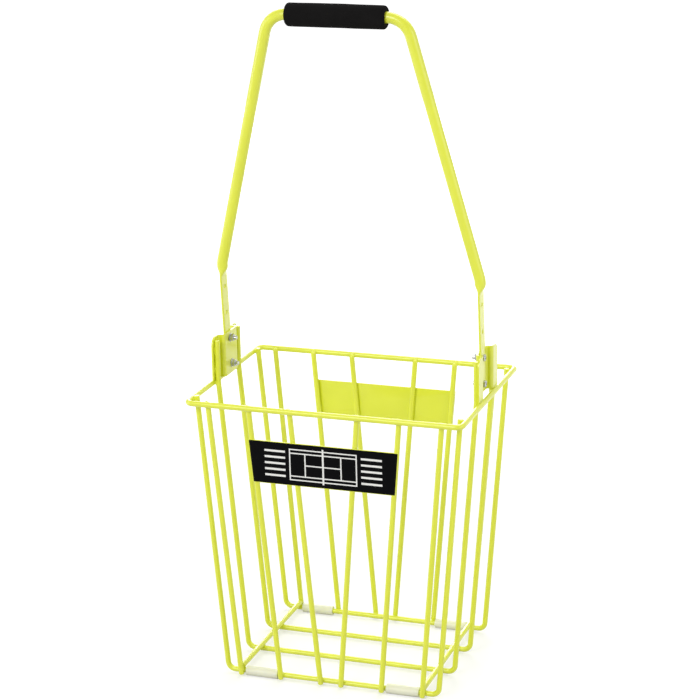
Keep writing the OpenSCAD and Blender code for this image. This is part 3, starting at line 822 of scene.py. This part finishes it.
def flat_section():
    """The strap's section as a ring of (outwards, across) places: flat, half round, flat, half round.
    Also gives the angle of each place on a circle of the same girth."""
    y = np.linspace(flat_half, -flat_half, ACROSS + 1)
    edge = np.stack([edge_r * np.sin(edge_turn), flat_half + edge_r * np.cos(edge_turn)], -1)
    ring = np.vstack([np.stack([np.full(ACROSS + 1, edge_r), y], -1), (edge * (1, -1))[1:-1],
                      np.stack([np.full(ACROSS + 1, -edge_r), -y], -1), edge[::-1][1:-1]])
    steps = np.linalg.norm(np.diff(np.vstack([ring, ring[:1]]), axis=0), axis=1)
    share = np.concatenate([[0], np.cumsum(steps)[:-1]]) / steps.sum()
    return ring, 2 * np.pi * (flat_half / steps.sum() - share)


def tube():
    """The bent tube as rings along its path. With n outwards in the plane of the bends, a point is
    path + u n + v Y, where (u, v) = (1 - w) flat + w circle and w eases from 0 to 1 above each strap."""
    lean = math.degrees(leg_lean)
    kink = arc((STRAP_MID - KINK_R, kink_z), KINK_R, 0, lean, KINK_STEPS)
    top = arc((TOP_RUN, HANDLE_H - TOP_R), TOP_R, lean, 90, TOP_STEPS)
    press = np.linspace((STRAP_MID, STRAP_TOP), (STRAP_MID, kink_z), PRESS_STEPS + 1)[:-1]
    leg = np.linspace(kink[-1], top[0], LEG_STEPS + 1)[1:-1]
    run = np.linspace((TOP_RUN, HANDLE_H), (0, HANDLE_H), RUN_STEPS + 1)[1:]
    half = np.vstack([press, kink, leg, top, run])
    turn = np.concatenate([np.zeros(PRESS_STEPS), np.linspace(0, leg_lean, KINK_STEPS + 1),
                           np.full(LEG_STEPS - 1, leg_lean),
                           np.linspace(leg_lean, np.pi / 2, TOP_STEPS + 1),
                           np.full(RUN_STEPS, np.pi / 2)])
    t = np.clip((half[:, 1] - STRAP_TOP) / FLATTEN, 0, 1)
    ease = t * t * (3 - 2 * t)
    path = np.vstack([half, half[-2::-1] * (-1, 1)])
    turn = np.concatenate([turn, np.pi - turn[-2::-1]])
    ease = np.concatenate([ease, ease[-2::-1]])[:, None]
    ring, angle = flat_section()
    u = (1 - ease) * ring[:, 0] + ease * TUBE_R * np.cos(angle)
    v = (1 - ease) * ring[:, 1] + ease * TUBE_R * np.sin(angle)
    x = path[:, :1] + u * np.cos(turn)[:, None]
    z = path[:, 1:] + u * np.sin(turn)[:, None]
    return sheet(np.stack([x, v, z], -1))


right_strap = strap()
left_strap = (right_strap[0] * (-1, 1, 1), right_strap[1])
points, blocks = join([tube(), right_strap, left_strap])
coated("handle_tube", (on_handle(points), blocks), "handle")

# %% [markdown]
# Grip. A foam sleeve is pushed onto the top run. Foam gives: the sleeve swells a little in the middle,
# its ends draw in where they were cut, and its end faces dish towards the tube. So it is a turned shape
# whose radius follows those three rules, with a very slight lumpiness.

# %% Foam grip
GRIP_L, GRIP_R, GRIP_ROUND, LIP_R = 120.0, 13.5, 3.6, TUBE_R + 0.06
DISH, SWELL, LUMP, RIPPLE = 0.9, 0.25, 0.09, 0.06
GRIP_AROUND, BARREL_STEPS, ROUND_POINTS, DISH_STEPS = 64, 45, 9, 4


def grip_skin():
    """A turned sleeve. Its section goes up a dished end, round a quarter circle, along a barrel of
    radius R + swell (1 - s^2), and down the other end. Three and five waves around the sleeve, which
    turn slowly along it, make it uneven."""
    half, shoulder = GRIP_L / 2, GRIP_R - GRIP_ROUND
    inset, shrink = quarter(ROUND_POINTS)
    dish = np.linspace(LIP_R, shoulder, DISH_STEPS + 1)[:-1]
    sink = DISH * (1 - (dish - LIP_R) / (shoulder - LIP_R)) ** 2
    s = np.concatenate([half - sink, half - GRIP_ROUND * inset])
    r = np.concatenate([dish, GRIP_R - GRIP_ROUND * shrink])
    barrel = np.linspace(half - GRIP_ROUND, GRIP_ROUND - half, BARREL_STEPS + 1)[1:-1]
    s = np.concatenate([s, barrel, -s[::-1]])[:, None]
    r = np.concatenate([r, np.full(len(barrel), GRIP_R), r[::-1]])[:, None]
    t = np.linspace(0, 2 * np.pi, GRIP_AROUND, endpoint=False)[None]
    uneven = LUMP * np.sin(3 * t + s / 9) * np.sin(s / 17 + 1) + RIPPLE * np.sin(5 * t - s / 13)
    share = (r - LIP_R) / (GRIP_R - LIP_R)
    r = r + share * (SWELL * (1 - (s / half) ** 2) + uneven)
    rings = np.stack([np.broadcast_to(s, r.shape), r * np.sin(t), HANDLE_H + r * np.cos(t)], -1)
    return skin(on_handle(rings), closed=True)


grip = make_piece("grip_foam", grip_skin(), foam, "handle", ["grip"], sharp=70)

# %% [markdown]
# Feet. Four short lengths of tube are slipped over the front and rear floor wires, and stand flat on the
# ground. Each is a ring of points around the wire, cut off flat below, carried from one soft end to the
# other and back through the bore.

# %% Foot sleeves
FOOT_L, FOOT_R, BORE_R, FOOT_EDGE, BORE_IN, MID_RING = 41.0, 6.0, 3.05, 0.8, 0.3, 7.0
FOOT_AROUND, STEEPEST = 48, 0.5


def foot_skin(x, y):
    """A sleeve along X. Its outline is r = min(R, flat / cos a), a being the angle from straight down; its
    ends have a quarter round, and the last ring joins the first through the bore."""
    t = np.linspace(0, 2 * np.pi, FOOT_AROUND, endpoint=False)
    outline = np.minimum(FOOT_R, FLOOR_Z / np.maximum(np.cos(t), STEEPEST))
    inset, shrink = quarter(EDGE_POINTS)
    reach = FOOT_L / 2 - np.append(BORE_IN, FOOT_EDGE * inset)
    s = np.concatenate([-reach, (-MID_RING, MID_RING), reach[::-1]])
    tip = np.vstack([np.full(FOOT_AROUND, BORE_R), outline - FOOT_EDGE * shrink[:, None]])
    radius = np.vstack([tip, outline, outline, tip[::-1]])
    rings = np.stack([np.broadcast_to(x + s[:, None], radius.shape), y + radius * np.sin(t),
                      FLOOR_Z - radius * np.cos(t)], -1)
    return skin(rings, closed=True)


foot_x = float(end_x(5, 0) + end_x(6, 0)) / 2
for end, y in (("front", -floor_y), ("rear", floor_y)):
    for side, x in (("left", -foot_x), ("right", foot_x)):
        make_piece(f"foot_{end}_{side}_sleeve", foot_skin(x, y), vinyl, "basket",
                   [f"foot_{end}_{side}"])

# %% [markdown]
# Hardware. Bolts, washers and nuts are exact in the CAD model, cross recess and chamfers included, so
# they stay and take the zinc finish.

# %% Bolts, washers and nuts
hardware = [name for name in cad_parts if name.startswith(("pivot_", "clamp_"))]
for name in hardware:
    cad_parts[name].data.materials.clear()
    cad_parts[name].data.materials.append(zinc)
print("zinc plated:", len(hardware))

# %% [markdown]
# Stage, in metres. A product photograph on white: a pale floor that keeps a soft shadow, and a white
# surround. More light would burn the object out, so the white is a glow that only the camera and
# reflections see. It grows with the distance from the object, which leaves the shadow near its feet.

# %% Floor
FLOOR_CORNERS = [(-6, -6, 0), (6, -6, 0), (6, 8, 0), (-6, 8, 0)]
GLOW_FROM, GLOW_TO, GLOW_NEAR, GLOW_FAR = 0.45, 1.7, 0.44, 0.85


def seen_ray(tree):
    """1 on a ray from the camera, off a gloss or through glass, and 0 on one that lights something."""
    ray = add_node(tree, "ShaderNodeLightPath").outputs
    seen = ray["Is Camera Ray"]
    for other in (ray["Is Glossy Ray"], ray["Is Transmission Ray"]):
        seen = add_node(tree, "ShaderNodeMath", links={0: seen, 1: other}, operation="MAXIMUM").outputs[0]
    return seen


floor_mesh = bpy.data.meshes.new("studio_floor")
floor_mesh.from_pydata(FLOOR_CORNERS, [], [(0, 1, 2, 3)])
floor = bpy.data.objects.new("studio_floor", floor_mesh)
scene.collection.objects.link(floor)
finish, tree, place = new_finish("white_studio_paper")
away = add_node(tree, "ShaderNodeVectorMath", links={0: place}, operation="LENGTH")
glow = add_node(tree, "ShaderNodeMapRange",
                {"From Min": GLOW_FROM, "From Max": GLOW_TO, "To Min": GLOW_NEAR, "To Max": GLOW_FAR},
                {"Value": away.outputs["Value"]}, interpolation_type="SMOOTHSTEP")
lift = add_node(tree, "ShaderNodeMath", links={0: seen_ray(tree), 1: glow.outputs["Result"]},
                operation="MULTIPLY")
paper = add_node(tree, "ShaderNodeBsdfPrincipled",
                 {"Base Color": paint("#cdcdcd"), "Roughness": 0.9, "Specular IOR Level": 0.1,
                  "Emission Color": paint("#ffffff")}, {"Emission Strength": lift.outputs[0]})
floor_mesh.materials.append(finished(finish, tree, paper))
print("floor glows from", GLOW_NEAR, "to", GLOW_FAR)

# %% Surround
SKY_LIGHT, SKY_SEEN = 0.35, 1.0
world = bpy.data.worlds.new("studio")
scene.world = world
world.use_nodes = True
tree = world.node_tree
tree.nodes.clear()
level = add_node(tree, "ShaderNodeMapRange", {"To Min": SKY_LIGHT, "To Max": SKY_SEEN},
                 {"Value": seen_ray(tree)})
sky = add_node(tree, "ShaderNodeBackground", {"Color": paint("#ffffff")},
               {"Strength": level.outputs["Result"]})
add_node(tree, "ShaderNodeOutputWorld", links={"Surface": sky.outputs["Background"]})
scene.view_settings.view_transform = "Standard"
print("surround lights with", SKY_LIGHT, "and looks", SKY_SEEN)

# %% [markdown]
# Lamps. Five large soft lamps face the basket. The front one is the brightest and gives the plain level
# of light. Two weak ones at the sides keep the legs round, one above and behind draws a glint along the
# tops of the wires, and a low one behind lights the back.

# %% Lamps
AIM = (0, 0, 0.3)
LAMPS = {
    "front_lamp": ((-1.0, -4.5, 2.9), 2.4, 122),
    "left_lamp": ((-2.2, -0.8, 0.9), 1.3, 13),
    "right_lamp": ((1.9, -0.4, 0.9), 1.3, 11.5),
    "top_lamp": ((0.2, 1.3, 2.6), 1.8, 32),
    "rear_lamp": ((-1.25, 3.3, 1.0), 1.8, 46),
}
for name, (place, size, watts) in LAMPS.items():
    light = bpy.data.lights.new(name, "AREA")
    light.size = size
    light.energy = watts
    holder = bpy.data.objects.new(name, light)
    holder.location = place
    holder.rotation_euler = (Vector(AIM) - Vector(place)).to_track_quat("-Z", "Y").to_euler()
    scene.collection.objects.link(holder)
    print(f"{name}: {watts} W, {size} m wide")

# %% [markdown]
# Camera. It stands at the photograph's viewing angle, a little to the right and above. Its place, angles
# and focal length were solved from the rim, the wires and the handle. It is tilted up from looking
# straight down, turned, and rolled a little. A focal length in pixels, over the picture's width in
# pixels, is the lens over the sensor's width.

# %% Camera
AZIMUTH, ELEVATION, ROLL = (math.radians(v) for v in (19.2, 16.8, -1.1))
EYE, FOCAL_PX, IMAGE_PX, SENSOR = np.array([856.6, -2472.4, 1182.5]), 2289.0, 700, 36.0
level = Matrix.Rotation(AZIMUTH, 4, "Z") @ Matrix.Rotation(math.pi / 2 - ELEVATION, 4, "X")
camera_data = bpy.data.cameras.new("camera")
camera_data.sensor_width = SENSOR
camera_data.lens = FOCAL_PX / IMAGE_PX * SENSOR
camera = bpy.data.objects.new("camera", camera_data)
camera.matrix_world = Matrix.Translation(Vector(EYE * MM)) @ level @ Matrix.Rotation(ROLL, 4, "Z")
scene.collection.objects.link(camera)
scene.camera = camera
print("lens", round(camera_data.lens, 1), "mm")
